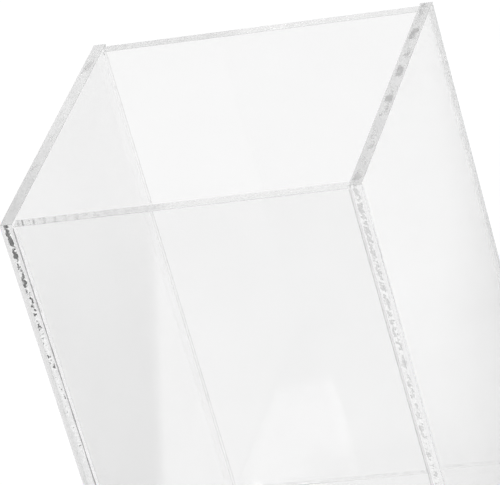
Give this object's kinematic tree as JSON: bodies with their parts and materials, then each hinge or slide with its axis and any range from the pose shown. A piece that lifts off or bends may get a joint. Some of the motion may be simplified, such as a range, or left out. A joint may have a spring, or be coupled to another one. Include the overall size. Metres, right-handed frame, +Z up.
{
  "type": "acrylic display box",
  "caption": "Open-topped rectangular display box of clear acrylic sheet, with side walls that run the full depth, front and back walls butted between them, and a flat base.",
  "frame": {"origin": "middle of the base's underside", "axes": "+Z up towards the open rim, -Y out of the front wall, +X to the right as seen from the front"},
  "size_m": [0.127, 0.127, 0.195],
  "materials": {
    "clear_acrylic": "polished clear sheet with machined edges",
    "set_cement": "set clear cement with small trapped bubbles"
  },
  "bodies": {
    "root": {"base_panel": "clear_acrylic", "left_wall": "clear_acrylic", "right_wall": "clear_acrylic", "front_wall": "clear_acrylic", "back_wall": "clear_acrylic", "base_seam_front": "set_cement", "base_seam_back": "set_cement", "base_seam_left": "set_cement", "base_seam_right": "set_cement", "corner_seam_front_left": "set_cement", "corner_seam_front_right": "set_cement", "corner_seam_back_left": "set_cement", "corner_seam_back_right": "set_cement"}
  },
  "joints": []
}
